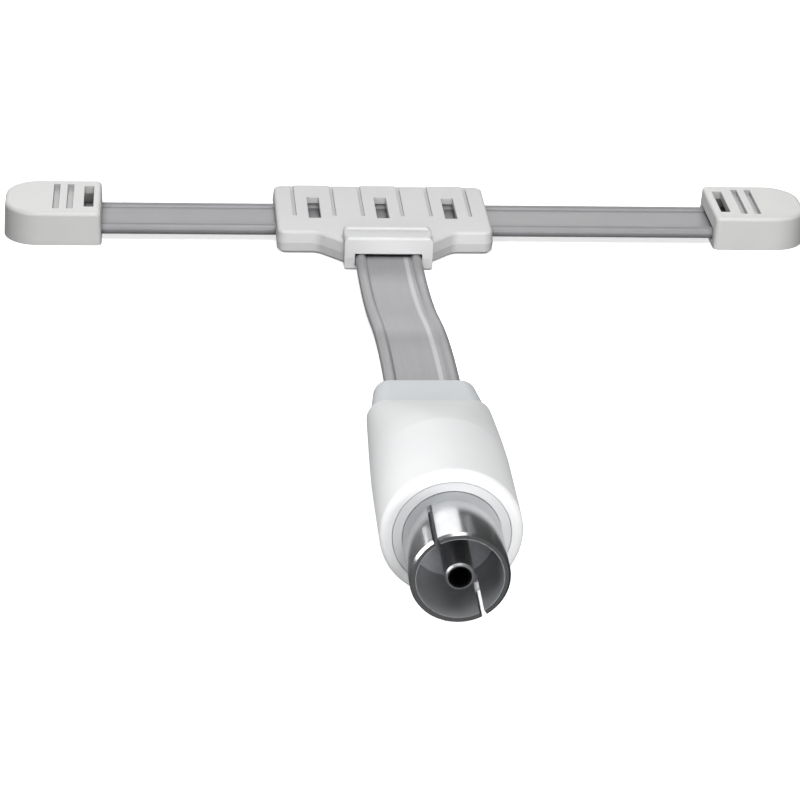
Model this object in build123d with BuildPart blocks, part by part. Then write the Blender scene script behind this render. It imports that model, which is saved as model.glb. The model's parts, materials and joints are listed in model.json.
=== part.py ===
from build123d import *
import math
import os

# FM indoor dipole antenna: twin-lead arms, a moulded tee, end caps and a lead to a coaxial line socket.
# Millimetres, Z up. The arms run along X, the lead runs towards -Y.
# The origin is the centre of the tee's underside.

# Twin-lead ribbon
ribbon_width = 9.5
ridge_diameter = 1.7
web_thickness = 0.9
wire_diameter = 0.8
left_arm = 25.1
right_arm = 32.8
lead_run = 58.0
lead_straight = 2.0
lead_ease = 0.96
lead_strip = 1.6
wire_tail = 1.6
wire_bend = 1.0
joint_diameter = 1.6
joint_length = 1.8
joint_bridge = 0.1

# Clearances
channel_gap = 0.05
wire_gap = 0.03
shell_gap = 0.05
metal_gap = 0.03
joint_room = 0.3

# Tee housing
tee_width = 31.4
tee_depth = 18.9
tee_corner = 1.5
tee_draft = 6.0
tee_edge = 0.5
floor_thickness = 0.75
roof_thickness = 1.0
stem_length = 5.55
stem_wall = 1.2
stem_straight = 0.8
shoulder_radius = 1.8
window_pitch = 9.95
window_width = 1.8
window_length = 8.2
panel_half = 2.9
panel_reach = 3.2
line_width = 0.5
line_depth = 0.3
rebate_width = 1.8
rebate_depth = 0.25
pin_diameter = 1.5
pin_height = 0.9
pin_inset = 2.6
clamp_thickness = 1.1
clamp_inset = 0.2

# Collar round the mouth of the tee
collar_proud = 0.3
collar_depth = 4.8
collar_rise = 1.45
collar_lip = 1.4
collar_groove = 2.4
collar_groove_depth = 0.4
collar_edge = 0.35
collar_corner = 0.9

# End caps
cap_width = 14.1
cap_depth = 13.4
cap_height = 5.0
cap_wall = 1.0
cap_roof = 1.2
cap_corner = 5.0
cap_inner_corner = 0.8
cap_draft = 2.0
cap_edge = 0.6
cap_window_width = 1.4
cap_window_inset = 1.9
cap_clamp_inset = 3.9
cap_groove_first = 4.6
cap_groove_pitch = 2.0
cap_groove_width = 0.9
cap_groove_length = 9.6
cap_groove_depth = 0.7
boss_diameter = 3.2
peg_diameter = 1.8
peg_height = 2.0

# Line socket body
shell_diameter = 16.2
shell_length = 30.0
shell_rear_width = 15.2
shell_rear_height = 5.0
barrel_length = 13.5
shell_swell = 1.25
shoulder_steps = 5
shell_rim = 0.9
shell_flat = 0.1
cavity_diameter = 12.4
cavity_lead = 3.0
counterbore_diameter = 13.4
neck_length = 7.0
neck_rear_width = 12.6
neck_rear_height = 4.0
neck_front_width = 14.4
neck_front_height = 4.4
neck_edge = 0.5
plug_width = 12.2
plug_height = 3.2
plug_length = 6.0
bush_length = 4.0

# Coaxial contacts
sleeve_diameter = 11.1
sleeve_wall = 0.75
sleeve_reach = 9.8
sleeve_flange_diameter = 12.0
sleeve_flange = 0.8
sleeve_chamfer = 0.25
slot_width = 0.6
slot_length = 8.0
slot_tilt = 32.0
insulator_length = 4.5
contact_diameter = 3.3
contact_bore = 2.4
contact_bore_depth = 8.0
contact_recess = 0.3
contact_chamfer = 0.2
contact_shoulder_diameter = 4.2
contact_shoulder = 0.6
tail_diameter = 1.2
tail_length = 0.6

# Balun on its shelf
core_width = 8.4
core_height = 4.8
core_length = 6.0
core_hole = 2.4
core_hole_spacing = 4.0
core_edge = 0.4
core_setback = 3.5
shelf_width = 5.6
shelf_thickness = 1.0
turn_diameter = 0.45
turn_spacing = 0.6
turn_overhang = 0.6

# Heights and places that follow from the sizes above
wire_reach = (ribbon_width - ridge_diameter) / 2
ribbon_z = floor_thickness + channel_gap + ridge_diameter / 2
channel_width = ribbon_width + 2 * channel_gap
channel_height = ridge_diameter + 2 * channel_gap
channel_top = floor_thickness + channel_height
tee_top = channel_top + roof_thickness
web_bottom = ribbon_z - web_thickness / 2
web_top = ribbon_z + web_thickness / 2
clamp_length = ribbon_width - 2 * ridge_diameter - 2 * clamp_inset
stem_width = channel_width + 2 * stem_wall
stem_reach = tee_depth / 2 + stem_length
shoulder_length = stem_length - stem_straight - shoulder_radius * math.tan(math.pi / 8)
collar_face_y = -(stem_reach + collar_proud)
collar_mid_y = collar_face_y + collar_depth / 2
collar_width = stem_width + 2 * collar_proud
collar_top = tee_top + collar_rise
window_places = [-window_pitch, 0, window_pitch]
pin_x = tee_width / 2 - pin_inset
pin_y = (tee_depth + channel_width) / 4
boss_x = cap_width - cap_wall - boss_diameter / 2
ribbon_insert = boss_x - boss_diameter / 2 - joint_room - joint_diameter / 2 - wire_tail
left_face_x = -(tee_width / 2 + left_arm)
right_face_x = tee_width / 2 + right_arm
left_end_x = left_face_x - ribbon_insert
right_end_x = right_face_x + ribbon_insert
axis_z = (shell_diameter - shell_flat) / 2
neck_rear_y = collar_face_y - lead_run
lead_inner_y = -(ribbon_width / 2 + lead_strip)
shell_front = neck_length + shell_length
shell_shoulder = shell_length - barrel_length
bush_rear = shell_front - bush_length
plug_end = neck_length + plug_length
cavity_rear = neck_length + shell_shoulder - cavity_lead
core_front = bush_rear - core_setback
core_rear = core_front - core_length
lead_joint_s = (cavity_rear + core_rear - turn_overhang) / 2
contact_joint_s = bush_rear - contact_shoulder - tail_length

os.makedirs("parts", exist_ok=True)


def connector_plane(distance):
    # Section plane across the line socket, looking along its axis from the rear of the neck
    return Plane(origin=(0, neck_rear_y - distance, axis_z), x_dir=(1, 0, 0), z_dir=(0, -1, 0))


def cap_plane(face_x, side, height):
    # Plane of an end cap: its x runs from the ribbon side to the outer end
    return Plane(origin=(face_x, 0, height), x_dir=(side, 0, 0), z_dir=(0, 0, 1))


def draw_twin_lead():
    # Dumbbell section of the ribbon with a bore for each wire
    with Locations((-wire_reach, 0), (wire_reach, 0)):
        Circle(ridge_diameter / 2)
    Rectangle(2 * wire_reach, web_thickness)
    with Locations((-wire_reach, 0), (wire_reach, 0)):
        Circle(wire_diameter / 2 + wire_gap, mode=Mode.SUBTRACT)


def draw_tee_outline():
    # Bar and stem with rounded ends and a slanting shoulder on each side of the stem
    Rectangle(tee_width, tee_depth)
    with Locations((0, -stem_reach / 2)):
        Rectangle(stem_width, stem_reach)
    rows = vertices().group_by(Axis.Y)
    fillet(rows[1].sort_by(Axis.X)[0::3] + rows[2], radius=tee_corner)
    rows = vertices().group_by(Axis.Y)
    chamfer(rows[1].sort_by(Axis.X)[1:3], length=shoulder_length)
    rows = vertices().group_by(Axis.Y)
    fillet(rows[1] + rows[2].sort_by(Axis.X)[1:3], radius=shoulder_radius)


def draw_channels():
    # Crossing channels for the arms and the lead, run out past the walls of the tee
    Rectangle(tee_width + tee_depth, channel_width)
    with Locations((0, -tee_depth)):
        Rectangle(channel_width, 2 * tee_depth)


def draw_cap_outline(inset):
    # Plan of an end cap, square towards the ribbon and rounded at the outer end
    with Locations((cap_width / 2, 0)):
        Rectangle(cap_width - 2 * inset, cap_depth - 2 * inset)
    ends = vertices().group_by(Axis.X)
    fillet(ends[-1], radius=cap_corner - inset)


def lead_points(start_y, end_y):
    # Route of the lead in the Y-Z plane: level out of the tee, level into the neck, one slope between
    rise = axis_z - ribbon_z
    span = lead_run - 2 * lead_straight
    tangent = math.hypot(span, rise) ** 2 / (4 * span)
    first = (collar_face_y - lead_straight - tangent, ribbon_z)
    second = (neck_rear_y + lead_straight + tangent, axis_z)
    return [(start_y, ribbon_z), first, second, (end_y, axis_z)]


def lead_radius():
    # Largest pair of equal arcs that joins the two levels, a little eased
    rise = axis_z - ribbon_z
    span = lead_run - 2 * lead_straight
    return lead_ease * math.hypot(span, rise) ** 2 / (4 * rise)


def in_connector(x, up, distance):
    # Point of the line socket in the frame of the whole antenna
    return (x, neck_rear_y - distance, axis_z + up)


# Upper half of the collar: front lip, shallow groove and rear rib
with BuildPart() as collar_upper:
    with BuildSketch(Plane.YZ):
        with Locations((collar_mid_y, (ribbon_z + collar_top) / 2)):
            Rectangle(collar_depth, collar_top - ribbon_z)
        with Locations((collar_face_y + collar_lip + collar_groove / 2, collar_top)):
            Rectangle(collar_groove, 2 * collar_groove_depth, mode=Mode.SUBTRACT)
        fillet(vertices().group_by(Axis.Y)[-1], radius=collar_edge)
    extrude(amount=collar_width / 2, both=True)
    with BuildSketch(Plane.XZ):
        with Locations((0, collar_top / 2)):
            Rectangle(collar_width, collar_top)
        fillet(vertices().group_by(Axis.Y)[-1], radius=collar_corner)
    extrude(amount=2 * stem_reach, mode=Mode.INTERSECT)

# Lower half of the collar
with BuildPart() as collar_lower:
    with BuildSketch(Plane.XY):
        with Locations((0, collar_mid_y)):
            Rectangle(collar_width, collar_depth)
    extrude(amount=ribbon_z)
    chamfer(collar_lower.faces().sort_by(Axis.Z)[0].edges(), length=collar_edge)

# Tee cover: windows over the ribbon, panel lines, stepped back edge and sockets for the pins
with BuildPart() as tee_cover:
    with BuildSketch(Plane.XY.offset(ribbon_z)):
        draw_tee_outline()
    extrude(amount=tee_top - ribbon_z)
    draft(tee_cover.faces().filter_by(Axis.Z, reverse=True), Plane.XY.offset(ribbon_z), tee_draft)
    fillet(tee_cover.faces().sort_by(Axis.Z)[-1].edges(), radius=tee_edge)
    add(collar_upper.part)
    with BuildSketch(Plane.XY.offset(ribbon_z)):
        draw_channels()
    extrude(amount=channel_top - ribbon_z, mode=Mode.SUBTRACT)
    with BuildSketch(Plane.XY.offset(web_top)):
        with Locations((0, collar_mid_y)):
            Rectangle(clamp_length, clamp_thickness)
    extrude(amount=tee_top - web_top)
    with BuildSketch(Plane.XY.offset(channel_top)):
        with Locations(*[(x, 0) for x in window_places]):
            Rectangle(window_width, window_length)
    extrude(amount=roof_thickness, mode=Mode.SUBTRACT)
    with BuildSketch(Plane.XY.offset(tee_top)):
        with Locations((0, tee_depth / 2)):
            Rectangle(tee_width, 2 * rebate_width)
        with Locations(*[(x, tee_depth / 2) for x in window_places]):
            Rectangle(2 * panel_half + line_width, 2 * rebate_width, mode=Mode.SUBTRACT)
    extrude(amount=-rebate_depth, mode=Mode.SUBTRACT)
    with BuildSketch(Plane.XY.offset(tee_top)):
        line_mid_y = (tee_depth / 2 - panel_reach) / 2
        with Locations(*[(x + side * panel_half, line_mid_y) for x in window_places for side in (-1, 1)]):
            Rectangle(line_width, tee_depth / 2 + panel_reach)
    extrude(amount=-line_depth, mode=Mode.SUBTRACT)
    with BuildSketch(Plane.XY.offset(ribbon_z)):
        with GridLocations(2 * pin_x, 2 * pin_y, 2, 2):
            Circle(pin_diameter / 2 + shell_gap)
    extrude(amount=pin_height + shell_gap, mode=Mode.SUBTRACT)
tee_cover.part.label = "tee_cover"
export_step(tee_cover.part, "parts/tee_cover.step")

# Tee base: floor, clamp ribs under the webs and locating pins
with BuildPart() as tee_base:
    with BuildSketch(Plane.XY):
        draw_tee_outline()
    extrude(amount=ribbon_z)
    draft(tee_base.faces().filter_by(Axis.Z, reverse=True), Plane.XY.offset(ribbon_z), -tee_draft)
    chamfer(tee_base.faces().sort_by(Axis.Z)[0].edges(), length=tee_edge)
    add(collar_lower.part)
    with BuildSketch(Plane.XY.offset(floor_thickness)):
        draw_channels()
    extrude(amount=ribbon_z - floor_thickness, mode=Mode.SUBTRACT)
    with BuildSketch(Plane.XY.offset(floor_thickness)):
        with Locations(*[(x, 0) for x in window_places]):
            Rectangle(clamp_thickness, clamp_length)
        with Locations((0, collar_mid_y)):
            Rectangle(clamp_length, clamp_thickness)
    extrude(amount=web_bottom - floor_thickness)
    with BuildSketch(Plane.XY.offset(ribbon_z)):
        with GridLocations(2 * pin_x, 2 * pin_y, 2, 2):
            Circle(pin_diameter / 2)
    extrude(amount=pin_height)
tee_base.part.label = "tee_base"
export_step(tee_base.part, "parts/tee_base.step")

# End caps: an open shell with a window and two grooves, and the plate that closes it from below
for cap_name, face_x, side in [("left_cap", left_face_x, -1), ("right_cap", right_face_x, 1)]:
    with BuildPart() as cap_cover:
        with BuildSketch(cap_plane(face_x, side, 0)):
            draw_cap_outline(0)
            fillet(vertices().group_by(Axis.X)[0], radius=cap_inner_corner)
        extrude(amount=cap_height)
        draft(cap_cover.faces().filter_by(Axis.Z, reverse=True), Plane.XY, cap_draft)
        fillet(cap_cover.faces().sort_by(Axis.Z)[-1].edges(), radius=cap_edge)
        with BuildSketch(cap_plane(face_x, side, 0)):
            draw_cap_outline(cap_wall)
        extrude(amount=cap_height - cap_roof, mode=Mode.SUBTRACT)
        with BuildSketch(cap_plane(face_x, side, 0)):
            Rectangle(3 * cap_wall, channel_width)
        extrude(amount=channel_top, mode=Mode.SUBTRACT)
        with BuildSketch(cap_plane(face_x, side, web_top)):
            with Locations((cap_clamp_inset, 0)):
                Rectangle(clamp_thickness, clamp_length)
        extrude(amount=cap_height - cap_roof - web_top)
        with BuildSketch(cap_plane(face_x, side, floor_thickness + peg_height / 2)):
            with Locations((boss_x, 0)):
                Circle(boss_diameter / 2)
        extrude(amount=cap_height - cap_roof - floor_thickness - peg_height / 2)
        with BuildSketch(cap_plane(face_x, side, floor_thickness)):
            with Locations((boss_x, 0)):
                Circle(peg_diameter / 2 + shell_gap)
        extrude(amount=peg_height + shell_gap, mode=Mode.SUBTRACT)
        with BuildSketch(cap_plane(face_x, side, cap_height - cap_roof)):
            with Locations((cap_window_inset, 0)):
                Rectangle(cap_window_width, window_length)
        extrude(amount=cap_roof, mode=Mode.SUBTRACT)
        with BuildSketch(cap_plane(face_x, side, cap_height)):
            with Locations((cap_groove_first, 0), (cap_groove_first + cap_groove_pitch, 0)):
                Rectangle(cap_groove_width, cap_groove_length)
        extrude(amount=-cap_groove_depth, mode=Mode.SUBTRACT)
    cap_cover.part.label = cap_name + "_cover"
    export_step(cap_cover.part, "parts/" + cap_name + "_cover.step")

    with BuildPart() as cap_base:
        with BuildSketch(cap_plane(face_x, side, 0)):
            draw_cap_outline(cap_wall + shell_gap)
            with Locations((cap_wall, 0)):
                Rectangle(2 * cap_wall, channel_width - 2 * shell_gap)
        extrude(amount=floor_thickness)
        with BuildSketch(cap_plane(face_x, side, floor_thickness)):
            with Locations((cap_clamp_inset, 0)):
                Rectangle(clamp_thickness, clamp_length)
        extrude(amount=web_bottom - floor_thickness)
        with BuildSketch(cap_plane(face_x, side, floor_thickness)):
            with Locations((boss_x, 0)):
                Circle(peg_diameter / 2)
        extrude(amount=peg_height)
    cap_base.part.label = cap_name + "_base"
    export_step(cap_base.part, "parts/" + cap_name + "_base.step")

# Insulation of the arms: one ribbon from cap to cap, its front ridge notched at the feed point
with BuildPart() as dipole_ribbon:
    with BuildSketch(Plane(origin=(left_end_x, 0, ribbon_z), x_dir=(0, 1, 0), z_dir=(1, 0, 0))):
        draw_twin_lead()
    extrude(amount=right_end_x - left_end_x)
    with BuildSketch(Plane.XY):
        with Locations((0, -ribbon_width / 2)):
            Rectangle(2 * (wire_reach + lead_strip), 2 * (ridge_diameter + channel_gap))
    extrude(amount=tee_top, mode=Mode.SUBTRACT)
dipole_ribbon.part.label = "dipole_ribbon"
export_step(dipole_ribbon.part, "parts/dipole_ribbon.step")

# Unbroken rear wire of the arms, bent across to the front wire inside each cap
bridge_y = wire_diameter / 2 + joint_bridge - wire_reach
with BuildPart() as dipole_rear_wire:
    with BuildLine() as rear_route:
        FilletPolyline(
            (left_end_x - wire_tail, bridge_y, ribbon_z),
            (left_end_x - wire_tail, wire_reach, ribbon_z),
            (right_end_x + wire_tail, wire_reach, ribbon_z),
            (right_end_x + wire_tail, bridge_y, ribbon_z),
            radius=wire_bend,
        )
    with BuildSketch(Plane(origin=rear_route.line @ 0, z_dir=rear_route.line % 0)):
        Circle(wire_diameter / 2)
    sweep()
dipole_rear_wire.part.label = "dipole_rear_wire"
export_step(dipole_rear_wire.part, "parts/dipole_rear_wire.step")

# Front wires of the arms, cut at the feed point
front_wires = []
for wire_name, end_x, side in [("left", left_end_x, -1), ("right", right_end_x, 1)]:
    feed_x = side * (wire_reach - wire_diameter / 2)
    tip_x = end_x + side * (wire_tail + wire_diameter / 2)
    with BuildPart() as front_wire:
        with BuildSketch(Plane(origin=(feed_x, -wire_reach, ribbon_z), z_dir=(side, 0, 0))):
            Circle(wire_diameter / 2)
        extrude(amount=abs(tip_x - feed_x))
    front_wire.part.label = "dipole_front_wire_" + wire_name
    export_step(front_wire.part, "parts/dipole_front_wire_" + wire_name + ".step")
    front_wires.append(front_wire.part)

# Solder joints that close the loop of the arms inside the caps
with BuildPart() as end_joints:
    with Locations(
        (left_end_x - wire_tail, -wire_reach, ribbon_z),
        (right_end_x + wire_tail, -wire_reach, ribbon_z),
    ):
        Cylinder(joint_diameter / 2, joint_length, rotation=(0, 90, 0))
    add(dipole_rear_wire.part, mode=Mode.SUBTRACT)
    add(front_wires, mode=Mode.SUBTRACT)
end_joints.part.label = "end_joints"
export_step(end_joints.part, "parts/end_joints.step")

# Insulation of the lead, from the tee to the end of the plug in the line socket
with BuildPart() as lead_ribbon:
    with BuildLine(Plane.YZ) as lead_route:
        FilletPolyline(*lead_points(lead_inner_y, neck_rear_y - plug_end), radius=lead_radius())
    with BuildSketch(Plane(origin=(0, lead_inner_y, ribbon_z), x_dir=(1, 0, 0), z_dir=(0, -1, 0))):
        draw_twin_lead()
    sweep()
lead_ribbon.part.label = "lead_ribbon"
export_step(lead_ribbon.part, "parts/lead_ribbon.step")

# Wires of the lead, from the feed joints to the balun
lead_wires = []
for wire_name, side in [("left", -1), ("right", 1)]:
    wire_start_y = -(wire_reach + wire_diameter / 2 + joint_bridge)
    with BuildPart() as lead_wire:
        with BuildLine(Plane.YZ.offset(side * wire_reach)) as wire_route:
            FilletPolyline(*lead_points(wire_start_y, neck_rear_y - lead_joint_s), radius=lead_radius())
        with BuildSketch(Plane(origin=wire_route.line @ 0, z_dir=wire_route.line % 0)):
            Circle(wire_diameter / 2)
        sweep()
    lead_wire.part.label = "lead_wire_" + wire_name
    export_step(lead_wire.part, "parts/lead_wire_" + wire_name + ".step")
    lead_wires.append(lead_wire.part)

# Solder joints between the arms and the lead
with BuildPart() as feed_joints:
    with Locations((-wire_reach, -wire_reach, ribbon_z), (wire_reach, -wire_reach, ribbon_z)):
        Cylinder(joint_diameter / 2, joint_length, rotation=(0, 90, 0))
    add(front_wires, mode=Mode.SUBTRACT)
    add(lead_wires, mode=Mode.SUBTRACT)
feed_joints.part.label = "feed_joints"
export_step(feed_joints.part, "parts/feed_joints.step")

# Flat neck that grips the lead, with a plug that fits the rear of the shell
with BuildPart() as ribbon_holder:
    with BuildSketch(connector_plane(0)):
        SlotOverall(neck_rear_width, neck_rear_height)
    with BuildSketch(connector_plane(neck_length)):
        SlotOverall(neck_front_width, neck_front_height)
    loft()
    fillet(ribbon_holder.faces().sort_by(Axis.Y)[-1].edges(), radius=neck_edge)
    with BuildSketch(connector_plane(neck_length)):
        SlotOverall(plug_width, plug_height)
    extrude(amount=plug_length)
    with BuildSketch(connector_plane(0)):
        Rectangle(channel_width, channel_height)
    extrude(amount=plug_end, mode=Mode.SUBTRACT)
    with BuildSketch(connector_plane((neck_length - clamp_thickness) / 2)):
        clamp_height = (channel_height - web_thickness) / 2
        clamp_up = (web_thickness + clamp_height) / 2
        with Locations((0, -clamp_up), (0, clamp_up)):
            Rectangle(clamp_length, clamp_height)
    extrude(amount=clamp_thickness)
ribbon_holder.part.label = "ribbon_holder"
export_step(ribbon_holder.part, "parts/ribbon_holder.step")

# Shell of the line socket: a flat rear mouth that swells into a round barrel
with BuildPart() as connector_shell:
    for step in range(shoulder_steps):
        along = step / (shoulder_steps - 1)
        swell = 1 - (1 - along) ** shell_swell
        width = shell_rear_width + (shell_diameter - shell_rear_width) * swell
        height = shell_rear_height + (shell_diameter - shell_flat - shell_rear_height) * swell
        with BuildSketch(connector_plane(neck_length + shell_shoulder * along)):
            SlotOverall(width, height)
    loft()
    with BuildSketch(connector_plane(neck_length + shell_shoulder)):
        SlotOverall(shell_diameter, shell_diameter - shell_flat)
    extrude(amount=shell_length - shell_shoulder)
    fillet(connector_shell.faces().sort_by(Axis.Y)[0].edges(), radius=shell_rim)
    with BuildSketch(connector_plane(neck_length)):
        SlotOverall(plug_width + 2 * shell_gap, plug_height + 2 * shell_gap)
    extrude(amount=plug_length, mode=Mode.SUBTRACT)
    with BuildSketch(connector_plane(plug_end)):
        Rectangle(channel_width, channel_height)
    extrude(amount=cavity_rear - plug_end, mode=Mode.SUBTRACT)
    with BuildSketch(connector_plane(cavity_rear)):
        Circle(cavity_diameter / 2)
    extrude(amount=bush_rear - cavity_rear, mode=Mode.SUBTRACT)
    with BuildSketch(connector_plane(bush_rear)):
        Circle(counterbore_diameter / 2)
    extrude(amount=bush_length, mode=Mode.SUBTRACT)
connector_shell.part.label = "connector_shell"
export_step(connector_shell.part, "parts/connector_shell.step")

# Bush that closes the front of the shell and holds the sleeve
with BuildPart() as front_bush:
    with BuildSketch(connector_plane(bush_rear)):
        Circle(counterbore_diameter / 2 - shell_gap)
        Circle(sleeve_diameter / 2 + metal_gap, mode=Mode.SUBTRACT)
    extrude(amount=bush_length)
front_bush.part.label = "front_bush"
export_step(front_bush.part, "parts/front_bush.step")

# Outer contact: a thin sleeve with a rear flange and two spring slots
with BuildPart() as outer_contact:
    with BuildSketch(connector_plane(bush_rear - sleeve_flange)):
        Circle(sleeve_flange_diameter / 2)
    extrude(amount=sleeve_flange)
    with BuildSketch(connector_plane(bush_rear)):
        Circle(sleeve_diameter / 2)
    extrude(amount=bush_length + sleeve_reach)
    chamfer(outer_contact.faces().sort_by(Axis.Y)[0].edges(), length=sleeve_chamfer)
    with BuildSketch(connector_plane(bush_rear - sleeve_flange)):
        Circle(sleeve_diameter / 2 - sleeve_wall)
    extrude(amount=sleeve_flange + bush_length + sleeve_reach, mode=Mode.SUBTRACT)
    with BuildSketch(connector_plane(shell_front + sleeve_reach - slot_length)):
        Rectangle(slot_width, 2 * sleeve_diameter, rotation=slot_tilt)
    extrude(amount=slot_length, mode=Mode.SUBTRACT)
outer_contact.part.label = "outer_contact"
export_step(outer_contact.part, "parts/outer_contact.step")

# Insulator: a disc inside the sleeve, with a shelf behind it that carries the balun
with BuildPart() as contact_insulator:
    with BuildSketch(connector_plane(bush_rear)):
        Circle(sleeve_diameter / 2 - sleeve_wall - metal_gap)
        Circle(contact_diameter / 2 + metal_gap, mode=Mode.SUBTRACT)
    extrude(amount=insulator_length)
    with BuildSketch(connector_plane(core_rear)):
        with Locations((0, -(core_height + shelf_thickness) / 2)):
            Rectangle(shelf_width, shelf_thickness)
    extrude(amount=bush_rear - core_rear)
contact_insulator.part.label = "contact_insulator"
export_step(contact_insulator.part, "parts/contact_insulator.step")

# Centre contact: a tube with a shoulder behind the insulator and a solder tail
with BuildPart() as centre_contact:
    with BuildSketch(connector_plane(contact_joint_s)):
        Circle(tail_diameter / 2)
    extrude(amount=tail_length)
    with BuildSketch(connector_plane(bush_rear - contact_shoulder)):
        Circle(contact_shoulder_diameter / 2)
    extrude(amount=contact_shoulder)
    with BuildSketch(connector_plane(bush_rear)):
        Circle(contact_diameter / 2)
    extrude(amount=bush_length + sleeve_reach - contact_recess)
    chamfer(centre_contact.faces().sort_by(Axis.Y)[0].edges(), length=contact_chamfer)
    with BuildSketch(connector_plane(shell_front + sleeve_reach - contact_recess)):
        Circle(contact_bore / 2)
    extrude(amount=-contact_bore_depth, mode=Mode.SUBTRACT)
centre_contact.part.label = "centre_contact"
export_step(centre_contact.part, "parts/centre_contact.step")

# Twin-hole ferrite core on the shelf
with BuildPart() as balun_core:
    with BuildSketch(connector_plane(core_rear)):
        RectangleRounded(core_width, core_height, core_edge)
        with Locations((-core_hole_spacing / 2, 0), (core_hole_spacing / 2, 0)):
            Circle(core_hole / 2, mode=Mode.SUBTRACT)
    extrude(amount=core_length)
balun_core.part.label = "balun_core"
export_step(balun_core.part, "parts/balun_core.step")

hole_x = core_hole_spacing / 2
turn_rear = core_rear - turn_overhang
turn_front = core_front + turn_overhang

# Primary: two turns through both holes, fed by the lead
with BuildPart() as balun_primary:
    with BuildLine() as primary_route:
        Polyline(
            in_connector(-wire_reach, 0, lead_joint_s + joint_bridge),
            in_connector(-wire_reach, 0, lead_joint_s + joint_length / 2),
            in_connector(-hole_x, turn_spacing, turn_rear),
            in_connector(-hole_x, turn_spacing, turn_front),
            in_connector(hole_x, turn_spacing, turn_front),
            in_connector(hole_x, turn_spacing, turn_rear),
            in_connector(-hole_x, 0, turn_rear),
            in_connector(-hole_x, 0, turn_front),
            in_connector(hole_x, 0, turn_front),
            in_connector(hole_x, 0, turn_rear),
            in_connector(wire_reach, 0, lead_joint_s + joint_length / 2),
            in_connector(wire_reach, 0, lead_joint_s + joint_bridge),
        )
    with BuildSketch(Plane(origin=primary_route.line @ 0, z_dir=primary_route.line % 0)):
        Circle(turn_diameter / 2)
    sweep(transition=Transition.RIGHT)
balun_primary.part.label = "balun_primary"
export_step(balun_primary.part, "parts/balun_primary.step")

# Secondary: one turn from the centre contact to the flange of the outer contact
flange_joint_x = (sleeve_diameter - sleeve_wall) / 2
flange_joint_s = bush_rear - sleeve_flange - turn_diameter
with BuildPart() as balun_secondary:
    with BuildLine() as secondary_route:
        Polyline(
            in_connector(0, 0, contact_joint_s - joint_bridge),
            in_connector(0, 0, contact_joint_s - joint_length / 2),
            in_connector(-hole_x, -turn_spacing, turn_front),
            in_connector(-hole_x, -turn_spacing, turn_rear),
            in_connector(hole_x, -turn_spacing, turn_rear),
            in_connector(hole_x, -turn_spacing, turn_front),
            in_connector(flange_joint_x, -turn_spacing, flange_joint_s),
        )
    with BuildSketch(Plane(origin=secondary_route.line @ 0, z_dir=secondary_route.line % 0)):
        Circle(turn_diameter / 2)
    sweep(transition=Transition.RIGHT)
balun_secondary.part.label = "balun_secondary"
export_step(balun_secondary.part, "parts/balun_secondary.step")

# Solder joints of the balun: two on the lead, one on the centre contact, one on the flange
with BuildPart() as balun_joints:
    with Locations(
        in_connector(-wire_reach, 0, lead_joint_s),
        in_connector(wire_reach, 0, lead_joint_s),
        in_connector(0, 0, contact_joint_s),
        in_connector(flange_joint_x, -turn_spacing, flange_joint_s),
    ):
        Cylinder(joint_diameter / 2, joint_length, rotation=(90, 0, 0))
    add(lead_wires, mode=Mode.SUBTRACT)
    add(balun_primary.part, mode=Mode.SUBTRACT)
    add(balun_secondary.part, mode=Mode.SUBTRACT)
    add(centre_contact.part, mode=Mode.SUBTRACT)
    add(outer_contact.part, mode=Mode.SUBTRACT)
balun_joints.part.label = "balun_joints"
export_step(balun_joints.part, "parts/balun_joints.step")
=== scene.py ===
import bpy
import bmesh
import json
import math
from mathutils import Matrix, Vector

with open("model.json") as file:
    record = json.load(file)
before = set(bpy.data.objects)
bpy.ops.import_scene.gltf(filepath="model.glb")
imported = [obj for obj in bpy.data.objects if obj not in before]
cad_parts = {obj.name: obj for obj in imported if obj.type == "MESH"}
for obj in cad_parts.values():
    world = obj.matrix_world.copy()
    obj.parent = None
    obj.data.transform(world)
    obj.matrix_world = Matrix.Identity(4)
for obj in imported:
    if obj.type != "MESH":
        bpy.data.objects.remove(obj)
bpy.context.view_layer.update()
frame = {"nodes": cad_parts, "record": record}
millimetre = 0.001


def hexToLinear(code):
    channels = [int(code[i:i + 2], 16) / 255 for i in (1, 3, 5)]
    return [c / 12.92 if c <= 0.04045 else ((c + 0.055) / 1.055) ** 2.4 for c in channels] + [1.0]


def addNode(tree, kind, settings=None, inputs=None):
    node = tree.nodes.new(kind)
    for key, value in (settings or {}).items():
        setattr(node, key, value)
    for key, value in (inputs or {}).items():
        if isinstance(value, bpy.types.NodeSocket):
            tree.links.new(value, node.inputs[key])
        else:
            node.inputs[key].default_value = value
    return node


def startMaterial(name):
    material = bpy.data.materials.new(name)
    material.use_nodes = True
    tree = material.node_tree
    return material, tree, tree.nodes["Principled BSDF"]


def perMillimetre(size):
    return 1.0 / (size * millimetre)  # a pattern's scale on Object coordinates, which are in metres


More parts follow.
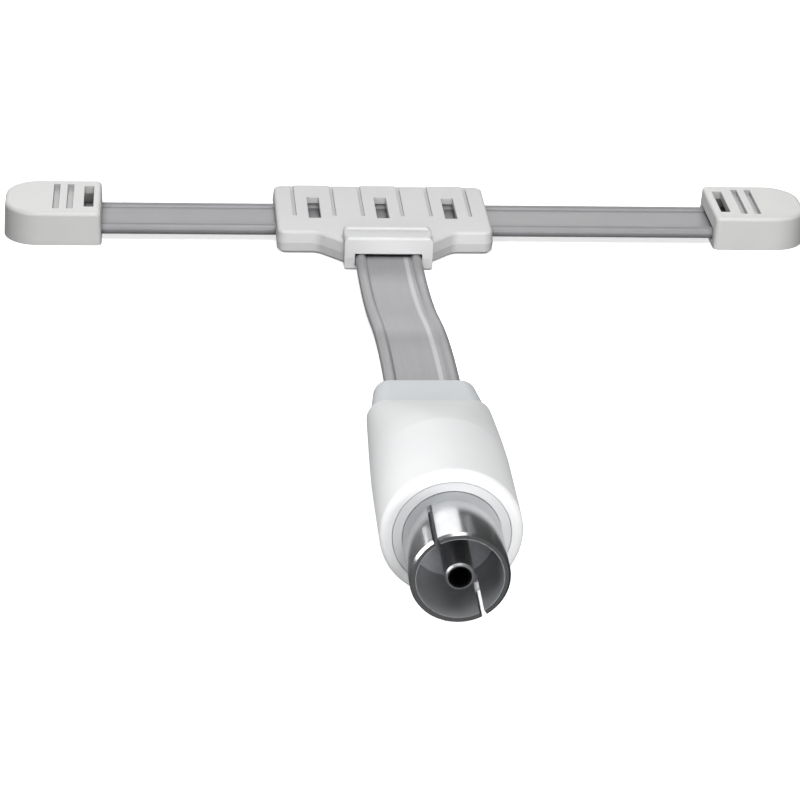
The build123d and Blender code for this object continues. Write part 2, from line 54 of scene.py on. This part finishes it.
# ABS, injection moulded in a lightly spark-eroded tool: even white with a soft sheen and a fine grain
mouldedAbs = {
    "mottle": 6.0, "sink": 3.0, "grain": 0.35,  # millimetres, the grain drawn coarser so that it shows
    "sinkDepth": 0.06, "sinkStrength": 0.25,
    "grainDepth": 0.02, "grainStrength": 0.12,
    "edge": 0.15, "glossSpread": 0.12, "ior": 1.53,
    "paintedShade": "#B4B4B6", "paintedShadeReach": 1.6, "paintedShadeFull": 0.35, "paintedShadeNone": 0.9,  # painted shade in the corners
}
absShades = {  # two shades of the mottle and the lowest roughness
    # painted light and shade: the white of the tee and base plates is a little darker than the caps'
    "abs_moulded_white": ("#E0E0E0", "#D9D9DA", 0.56),
    "abs_moulded_satin_white": ("#E6E6E4", "#DFDFDE", 0.38),
    "abs_moulded_shell_white": ("#DEDFDF", "#D8D9DA", 0.52),
    "abs_moulded_cool_white": ("#CCCFD2", "#C5C8CC", 0.46),
    # the bush: white plastic painted grey as the shade on its face
    "abs_moulded_white_painted_shade": ("#C6C7C8", "#BFC0C2", 0.5),
}


def makeMouldedAbs(name):
    white, shade, smooth = absShades[name]
    material, tree, shader = startMaterial(name)
    place = addNode(tree, "ShaderNodeTexCoord").outputs["Object"]
    mottle = addNode(tree, "ShaderNodeTexNoise", inputs={
        "Vector": place, "Scale": perMillimetre(mouldedAbs["mottle"]), "Detail": 3.0})
    tint = addNode(tree, "ShaderNodeMix", {"data_type": "RGBA"}, {
        "Factor": mottle.outputs["Fac"], "A": hexToLinear(white), "B": hexToLinear(shade)})
    # painted shade: darker where ambient occlusion finds corners and grooves close by
    corners = addNode(tree, "ShaderNodeAmbientOcclusion", {"samples": 8, "only_local": True}, {
        "Distance": mouldedAbs["paintedShadeReach"] * millimetre})
    paintedShadeMask = addNode(tree, "ShaderNodeMapRange", inputs={
        "Value": corners.outputs["AO"], "From Min": mouldedAbs["paintedShadeFull"],
        "From Max": mouldedAbs["paintedShadeNone"], "To Min": 1.0, "To Max": 0.0})
    paintedShadeMixed = addNode(tree, "ShaderNodeMix", {"data_type": "RGBA"}, {
        "Factor": paintedShadeMask.outputs["Result"], "A": tint.outputs["Result"],
        "B": hexToLinear(mouldedAbs["paintedShade"])})
    grain = addNode(tree, "ShaderNodeTexNoise", inputs={
        "Vector": place, "Scale": perMillimetre(mouldedAbs["grain"]), "Detail": 2.0})
    sink = addNode(tree, "ShaderNodeTexNoise", inputs={
        "Vector": place, "Scale": perMillimetre(mouldedAbs["sink"]), "Detail": 1.0})
    gloss = addNode(tree, "ShaderNodeMapRange", inputs={
        "Value": grain.outputs["Fac"], "To Min": smooth,
        "To Max": smooth + mouldedAbs["glossSpread"]})
    rounded = addNode(tree, "ShaderNodeBevel", {"samples": 4}, {
        "Radius": mouldedAbs["edge"] * millimetre})
    dents = addNode(tree, "ShaderNodeBump", inputs={
        "Strength": mouldedAbs["sinkStrength"], "Distance": mouldedAbs["sinkDepth"] * millimetre,
        "Height": sink.outputs["Fac"], "Normal": rounded.outputs["Normal"]})
    sparks = addNode(tree, "ShaderNodeBump", inputs={
        "Strength": mouldedAbs["grainStrength"], "Distance": mouldedAbs["grainDepth"] * millimetre,
        "Height": grain.outputs["Fac"], "Normal": dents.outputs["Normal"]})
    tree.links.new(paintedShadeMixed.outputs["Result"], shader.inputs["Base Color"])
    tree.links.new(gloss.outputs["Result"], shader.inputs["Roughness"])
    tree.links.new(sparks.outputs["Normal"], shader.inputs["Normal"])
    shader.inputs["IOR"].default_value = mouldedAbs["ior"]
    return material


# Soft PVC, extruded over the wires: satin grey with faint lines along its run
ribbonPvc = {
    "grey": "#979799", "shade": "#929295", "greyBelow": 0.12, "shadeAbove": 0.4,
    "lineSpacing": 0.35, "lineLength": 25.0, "bloom": 4.0,  # millimetres, the lines drawn coarser
    "lineDepth": 0.04, "lineStrength": 0.06,
    "smooth": 0.36, "rough": 0.42, "ior": 1.54,
    "paintedShade": "#2C2C2E", "paintedShadeReach": 2.5, "paintedShadeFull": 0.33, "paintedShadeNone": 0.7,  # painted shade in the windows
}
paintedHighlightLine = {"pale": "#BCBCBE", "at": 2.4, "core": 0.2, "edge": 0.4}  # painted highlight along the inner side of the right ridge; millimetres, on the lead only


def makeRibbonPvc(name, alongX, withPaintedHighlight):
    material, tree, shader = startMaterial(name)
    place = addNode(tree, "ShaderNodeTexCoord").outputs["Object"]
    across = perMillimetre(ribbonPvc["lineSpacing"])
    along = perMillimetre(ribbonPvc["lineLength"])
    stretch = (along, across, along) if alongX else (across, along, along)
    run = addNode(tree, "ShaderNodeMapping", inputs={"Vector": place, "Scale": stretch})
    lines = addNode(tree, "ShaderNodeTexNoise", inputs={
        "Vector": run.outputs["Vector"], "Scale": 1.0, "Detail": 2.0})
    bloom = addNode(tree, "ShaderNodeTexNoise", inputs={
        "Vector": place, "Scale": perMillimetre(ribbonPvc["bloom"]), "Detail": 3.0})
    tone = addNode(tree, "ShaderNodeMath", {"operation": "MULTIPLY"}, {
        0: lines.outputs["Fac"], 1: bloom.outputs["Fac"]})
    spread = addNode(tree, "ShaderNodeMapRange", inputs={
        "Value": tone.outputs["Value"], "From Min": ribbonPvc["greyBelow"],
        "From Max": ribbonPvc["shadeAbove"]})
    tint = addNode(tree, "ShaderNodeMix", {"data_type": "RGBA"}, {
        "Factor": spread.outputs["Result"], "A": hexToLinear(ribbonPvc["grey"]),
        "B": hexToLinear(ribbonPvc["shade"])})
    # a pale line painted where a highlight runs along the right ridge
    if withPaintedHighlight:
        sideways = addNode(tree, "ShaderNodeSeparateXYZ", inputs={"Vector": place})
        offLine = addNode(tree, "ShaderNodeMath", {"operation": "SUBTRACT"}, {
            0: sideways.outputs["X"], 1: paintedHighlightLine["at"] * millimetre})
        apart = addNode(tree, "ShaderNodeMath", {"operation": "ABSOLUTE"}, {
            0: offLine.outputs["Value"]})
        onLine = addNode(tree, "ShaderNodeMapRange", inputs={
            "Value": apart.outputs["Value"], "From Min": paintedHighlightLine["core"] * millimetre,
            "From Max": paintedHighlightLine["edge"] * millimetre, "To Min": 1.0, "To Max": 0.0})
        tint = addNode(tree, "ShaderNodeMix", {"data_type": "RGBA"}, {
            "Factor": onLine.outputs["Result"], "A": tint.outputs["Result"],
            "B": hexToLinear(paintedHighlightLine["pale"])})
    # painted shade: darker where ambient occlusion finds the tee close, in its windows and at its
    # mouths
    corners = addNode(tree, "ShaderNodeAmbientOcclusion", {"samples": 8}, {
        "Distance": ribbonPvc["paintedShadeReach"] * millimetre})
    paintedShadeMask = addNode(tree, "ShaderNodeMapRange", inputs={
        "Value": corners.outputs["AO"], "From Min": ribbonPvc["paintedShadeFull"],
        "From Max": ribbonPvc["paintedShadeNone"], "To Min": 1.0, "To Max": 0.0})
    paintedShadeMixed = addNode(tree, "ShaderNodeMix", {"data_type": "RGBA"}, {
        "Factor": paintedShadeMask.outputs["Result"], "A": tint.outputs["Result"],
        "B": hexToLinear(ribbonPvc["paintedShade"])})
    gloss = addNode(tree, "ShaderNodeMapRange", inputs={
        "Value": lines.outputs["Fac"], "To Min": ribbonPvc["smooth"], "To Max": ribbonPvc["rough"]})
    ridges = addNode(tree, "ShaderNodeBump", inputs={
        "Strength": ribbonPvc["lineStrength"], "Distance": ribbonPvc["lineDepth"] * millimetre,
        "Height": lines.outputs["Fac"]})
    tree.links.new(paintedShadeMixed.outputs["Result"], shader.inputs["Base Color"])
    tree.links.new(gloss.outputs["Result"], shader.inputs["Roughness"])
    tree.links.new(ridges.outputs["Normal"], shader.inputs["Normal"])
    shader.inputs["IOR"].default_value = ribbonPvc["ior"]
    return material


# Brass drawn to a tube and nickel plated: a bright mirror outside, duller inside, with faint draw marks
nickelPlate = {
    "bright": "#C6C7C9", "worn": "#AEAFB1", "wear": 2.5,
    "drawSpacing": 0.2, "drawLength": 6.0,  # millimetres, the marks drawn coarser so that they show
    "markDepth": 0.01, "markStrength": 0.1, "markSmooth": 0.12, "markRough": 0.24,
    "axisHeight": 8.05, "ringReach": 10.0,
    "rings": (  # radius where the ring starts, shade, roughness and metallic
        (0.0, "#3C3B3A", 0.5, 1.0),  # bore of the centre contact, painted dark as the shade in the hole
        (1.3, "#D4D4D4", 0.42, 1.0),  # tube of the centre contact
        (2.2, "#DEDFE0", 0.42, 0.62),  # inside of the sleeve, with a film that scatters light
        (4.85, "#FFFFFF", 0.1, 1.0),  # rim and outside of the sleeve
    ),
}


def makeNickelPlate():
    material, tree, shader = startMaterial("nickel_plate_drawn")
    place = addNode(tree, "ShaderNodeTexCoord").outputs["Object"]
    across = perMillimetre(nickelPlate["drawSpacing"])
    along = perMillimetre(nickelPlate["drawLength"])
    run = addNode(tree, "ShaderNodeMapping", inputs={
        "Vector": place, "Scale": (across, along, across)})
    marks = addNode(tree, "ShaderNodeTexNoise", inputs={
        "Vector": run.outputs["Vector"], "Scale": 1.0, "Detail": 2.0})
    wear = addNode(tree, "ShaderNodeTexNoise", inputs={
        "Vector": place, "Scale": perMillimetre(nickelPlate["wear"]), "Detail": 4.0})
    tint = addNode(tree, "ShaderNodeMix", {"data_type": "RGBA"}, {
        "Factor": wear.outputs["Fac"], "A": hexToLinear(nickelPlate["bright"]),
        "B": hexToLinear(nickelPlate["worn"])})
    centred = addNode(tree, "ShaderNodeMapping", inputs={
        "Vector": place, "Location": (0.0, 0.0, -nickelPlate["axisHeight"] * millimetre),
        "Scale": (1.0, 0.0, 1.0)})
    radius = addNode(tree, "ShaderNodeVectorMath", {"operation": "LENGTH"}, {
        0: centred.outputs["Vector"]})
    reach = addNode(tree, "ShaderNodeMath", {"operation": "DIVIDE"}, {
        0: radius.outputs["Value"], 1: nickelPlate["ringReach"] * millimetre})
    shades = addNode(tree, "ShaderNodeValToRGB", inputs={"Fac": reach.outputs["Value"]})
    polish = addNode(tree, "ShaderNodeValToRGB", inputs={"Fac": reach.outputs["Value"]})
    metal = addNode(tree, "ShaderNodeValToRGB", inputs={"Fac": reach.outputs["Value"]})
    for ramp in (shades.color_ramp, polish.color_ramp, metal.color_ramp):
        ramp.interpolation = "CONSTANT"
        while len(ramp.elements) < len(nickelPlate["rings"]):
            ramp.elements.new(1.0)
    for ring, (start, shade, rough, metallic) in enumerate(nickelPlate["rings"]):
        stops = ((shades.color_ramp, hexToLinear(shade)),
                 (polish.color_ramp, (rough, rough, rough, 1.0)),
                 (metal.color_ramp, (metallic, metallic, metallic, 1.0)))
        for ramp, colour in stops:
            ramp.elements[ring].position = start / nickelPlate["ringReach"]
            ramp.elements[ring].color = colour
    plated = addNode(tree, "ShaderNodeMix", {"data_type": "RGBA", "blend_type": "MULTIPLY"}, {
        "Factor": 1.0, "A": tint.outputs["Result"], "B": shades.outputs["Color"]})
    marked = addNode(tree, "ShaderNodeMapRange", inputs={
        "Value": marks.outputs["Fac"], "To Min": nickelPlate["markSmooth"],
        "To Max": nickelPlate["markRough"]})
    gloss = addNode(tree, "ShaderNodeMath", {"operation": "MAXIMUM"}, {
        0: polish.outputs["Color"], 1: marked.outputs["Result"]})
    lines = addNode(tree, "ShaderNodeBump", inputs={
        "Strength": nickelPlate["markStrength"], "Distance": nickelPlate["markDepth"] * millimetre,
        "Height": marks.outputs["Fac"]})
    tree.links.new(plated.outputs["Result"], shader.inputs["Base Color"])
    tree.links.new(gloss.outputs["Value"], shader.inputs["Roughness"])
    tree.links.new(lines.outputs["Normal"], shader.inputs["Normal"])
    tree.links.new(metal.outputs["Color"], shader.inputs["Metallic"])
    return material


# Polyethylene, moulded: mid grey with a waxy grain
greyPolyethylene = {"first": "#86878B", "second": "#96979C", "grain": 0.5,
                    "metallic": 0.0, "smooth": 0.45, "rough": 0.6}

# Copper wire, drawn bare: warm metal with small dull spots
bareCopper = {"first": "#C9814F", "second": "#A8643B", "grain": 0.6,
              "metallic": 1.0, "smooth": 0.25, "rough": 0.4}

# Tin solder, set in air: dull grey metal with small frost spots
tinSolder = {"first": "#C4C6CA", "second": "#9C9EA3", "grain": 0.4,
             "metallic": 1.0, "smooth": 0.35, "rough": 0.55}

# Ferrite, pressed and sintered: matt near-black with a sandy grain
sinteredFerrite = {"first": "#2B2B2E", "second": "#3A3A3E", "grain": 0.25,
                   "metallic": 0.0, "smooth": 0.7, "rough": 0.9}

grainPits = {"depth": 0.03, "strength": 0.2}  # the same on all four, depth in millimetres


def makeGrainy(name, look):
    material, tree, shader = startMaterial(name)
    place = addNode(tree, "ShaderNodeTexCoord").outputs["Object"]
    spots = addNode(tree, "ShaderNodeTexNoise", inputs={
        "Vector": place, "Scale": perMillimetre(look["grain"]), "Detail": 4.0})
    tint = addNode(tree, "ShaderNodeMix", {"data_type": "RGBA"}, {
        "Factor": spots.outputs["Fac"], "A": hexToLinear(look["first"]),
        "B": hexToLinear(look["second"])})
    gloss = addNode(tree, "ShaderNodeMapRange", inputs={
        "Value": spots.outputs["Fac"], "To Min": look["smooth"], "To Max": look["rough"]})
    pits = addNode(tree, "ShaderNodeBump", inputs={
        "Strength": grainPits["strength"], "Distance": grainPits["depth"] * millimetre,
        "Height": spots.outputs["Fac"]})
    tree.links.new(tint.outputs["Result"], shader.inputs["Base Color"])
    tree.links.new(gloss.outputs["Result"], shader.inputs["Roughness"])
    tree.links.new(pits.outputs["Normal"], shader.inputs["Normal"])
    shader.inputs["Metallic"].default_value = look["metallic"]
    return material


finishes = {  # by the record's material slots
    "white_plastic": makeMouldedAbs("abs_moulded_white"),
    "grey_ribbon": makeRibbonPvc("pvc_extruded_grey_lead", alongX=False, withPaintedHighlight=True),
    "nickel_plate": makeNickelPlate(),
    "dark_plastic": makeGrainy("polyethylene_moulded_grey", greyPolyethylene),
    "copper_wire": makeGrainy("copper_drawn_bare", bareCopper),
    "solder": makeGrainy("tin_solder_dull", tinSolder),
    "ferrite": makeGrainy("ferrite_sintered_matt", sinteredFerrite),
}
capAbs = makeMouldedAbs("abs_moulded_satin_white")
ownFinishes = {  # nodes that differ a little from the rest of their slot
    "dipole_ribbon": makeRibbonPvc("pvc_extruded_grey_arms", alongX=True, withPaintedHighlight=False),
    "left_cap_cover": capAbs,
    "right_cap_cover": capAbs,
    "front_bush": makeMouldedAbs("abs_moulded_white_painted_shade"),
    "connector_shell": makeMouldedAbs("abs_moulded_shell_white"),
    "ribbon_holder": makeMouldedAbs("abs_moulded_cool_white"),
}

slotOf = {row["node"]: row["material_slot"] for row in frame["record"]["subparts"]}
for nodeName, node in frame["nodes"].items():
    node.material_slots[0].material = ownFinishes.get(nodeName, finishes[slotOf[nodeName]])
print("materials set on", len(frame["nodes"]), "nodes")

# Stage: a white floor that glows, dimmed only close to the part
stageLook = {
    "floorWidth": 6.0, "floorColour": "#F7F7F7", "floorRoughness": 0.9,
    "glowColour": "#FFFFFF", "floorGlow": 0.75, "shadowGlow": 0.6,
    "shadowReach": 4.0, "shadowFull": 0.4, "shadowNone": 0.95,
}

floorMesh = bpy.data.meshes.new("floor")
floorShape = bmesh.new()
bmesh.ops.create_grid(floorShape, x_segments=1, y_segments=1, size=stageLook["floorWidth"] / 2)
floorShape.to_mesh(floorMesh)
floorShape.free()
floor = bpy.data.objects.new("floor", floorMesh)
bpy.context.scene.collection.objects.link(floor)
floor.visible_glossy = False
floor.visible_diffuse = False
floor.visible_shadow = False  # so the ribbon's painted shade doesn't gather above it
floorFinish, floorTree, floorShader = startMaterial("paper_matt_white")
floorShader.inputs["Base Color"].default_value = hexToLinear(stageLook["floorColour"])
floorShader.inputs["Roughness"].default_value = stageLook["floorRoughness"]
floorShader.inputs["Emission Color"].default_value = hexToLinear(stageLook["glowColour"])
floorCorners = addNode(floorTree, "ShaderNodeAmbientOcclusion", {"samples": 16}, {
    "Distance": stageLook["shadowReach"] * millimetre})
floorGlow = addNode(floorTree, "ShaderNodeMapRange", inputs={
    "Value": floorCorners.outputs["AO"], "From Min": stageLook["shadowFull"],
    "From Max": stageLook["shadowNone"], "To Min": stageLook["shadowGlow"],
    "To Max": stageLook["floorGlow"]})
floorTree.links.new(floorGlow.outputs["Result"], floorShader.inputs["Emission Strength"])
floorMesh.materials.append(floorFinish)

# Lights: soft discs, in metres and watts
partMiddle = (0.0, -0.05, 0.0)
teeFront = (0.0, -0.01, 0.003)
studioLights = {
    "overhead": {"at": (0.0, -0.2, 0.5), "aim": partMiddle, "size": 0.35, "power": 1.78},
    "front": {"at": (0.0, -0.6, 0.2), "aim": partMiddle, "size": 0.2, "power": 0.85},
    "teeFill": {"at": (-0.004, -0.048, 0.022), "aim": teeFront, "size": 0.02, "power": 0.0025},
    "flankLeft": {"at": (-0.05, -0.14, 0.03), "aim": partMiddle, "size": 0.04, "power": 0.028},
    "flankRight": {"at": (0.06, -0.195, 0.016), "aim": partMiddle, "size": 0.05, "power": 0.075},
    "rear": {"at": (-0.125, 0.9, 0.44), "aim": partMiddle, "size": 0.52, "power": 1.25},
    "rearRight": {"at": (0.19, 0.83, 0.272), "aim": partMiddle, "size": 0.23, "power": 0.4},
    "rearLeft": {"at": (-0.45, 0.95, 0.1), "aim": partMiddle, "size": 0.12, "power": 0.45},
}
for lightName, light in studioLights.items():
    lamp = bpy.data.lights.new(lightName, "AREA")
    lamp.shape = "DISK"
    lamp.size = light["size"]
    lamp.energy = light["power"]
    lampObject = bpy.data.objects.new(lightName, lamp)
    lampObject.location = light["at"]
    lampObject.visible_camera = False
    beam = Vector(light["aim"]) - Vector(light["at"])
    lampObject.rotation_euler = beam.to_track_quat("-Z", "Y").to_euler()
    bpy.context.scene.collection.objects.link(lampObject)

# Room: faint light from its walls, along one axis from a first strength to a last one
studioRoom = {  # axis, ease, where it starts and ends, strength at both
    "side": ("X", "SMOOTHSTEP", -0.35, 0.3, 0.06, 0.02),
    "front": ("Y", "SMOOTHSTEP", -0.95, -0.4, 0.1, 0.0),
    "rear": ("Y", "SMOOTHSTEP", 0.1, 0.9, 0.0, 0.7),
    "mirrorGain": ("Z", "LINEAR", -0.35, 0.05, 2.5, 4.5),  # the side walls' gain in reflections
}

world = bpy.data.worlds.new("studio")
world.use_nodes = True
worldTree = world.node_tree
facing = addNode(worldTree, "ShaderNodeSeparateXYZ", inputs={
    "Vector": addNode(worldTree, "ShaderNodeTexCoord").outputs["Generated"]})
walls = {}
for wallName, (axis, ease, start, end, first, last) in studioRoom.items():
    walls[wallName] = addNode(worldTree, "ShaderNodeMapRange", {"interpolation_type": ease}, {
        "Value": facing.outputs[axis], "From Min": start, "From Max": end,
        "To Min": first, "To Max": last}).outputs["Result"]
glossyRay = addNode(worldTree, "ShaderNodeLightPath").outputs["Is Glossy Ray"]
mirrored = addNode(worldTree, "ShaderNodeMapRange", inputs={
    "Value": glossyRay, "To Min": 1.0, "To Max": walls["mirrorGain"]})
unmirrored = addNode(worldTree, "ShaderNodeMapRange", inputs={  # lights the part, isn't seen in it
    "Value": glossyRay, "To Min": walls["rear"], "To Max": 0.0})
nearLight = addNode(worldTree, "ShaderNodeMath", {"operation": "MULTIPLY_ADD"}, {
    0: walls["side"], 1: mirrored.outputs["Result"], 2: walls["front"]})
roomLight = addNode(worldTree, "ShaderNodeMath", {"operation": "ADD"}, {
    0: nearLight.outputs["Value"], 1: unmirrored.outputs["Result"]})
background = worldTree.nodes["Background"]
background.inputs["Color"].default_value = hexToLinear("#FFFFFF")
worldTree.links.new(roomLight.outputs["Value"], background.inputs["Strength"])
bpy.context.scene.world = world
bpy.context.scene.view_settings.view_transform = "Standard"
print("stage and lights set")

# Camera fitted to the photograph, in millimetres and degrees
cameraFit = {"target": (-2.143, -64.521, 3.0), "distance": 360.3,
             "elevation": 25.342, "yaw": 5.382, "roll": 2.448,
             "lens": 128.18, "sensor": 36.0, "nearest": 10.0}

elevation, yaw, roll = (math.radians(cameraFit[key]) for key in ("elevation", "yaw", "roll"))
back = Vector((-math.sin(yaw) * math.cos(elevation), -math.cos(yaw) * math.cos(elevation),
               math.sin(elevation)))
right = Vector((math.cos(yaw), -math.sin(yaw), 0.0))
up = back.cross(right)
turn = Matrix((right, up, back)).transposed() @ Matrix.Rotation(roll, 3, "Z")
cameraData = bpy.data.cameras.new("camera")
cameraData.lens = cameraFit["lens"]
cameraData.sensor_width = cameraFit["sensor"]
cameraData.clip_start = cameraFit["nearest"] * millimetre
camera = bpy.data.objects.new("camera", cameraData)
camera.matrix_world = turn.to_4x4()
camera.location = (Vector(cameraFit["target"]) + back * cameraFit["distance"]) * millimetre
bpy.context.scene.collection.objects.link(camera)
bpy.context.scene.camera = camera
print("camera set")
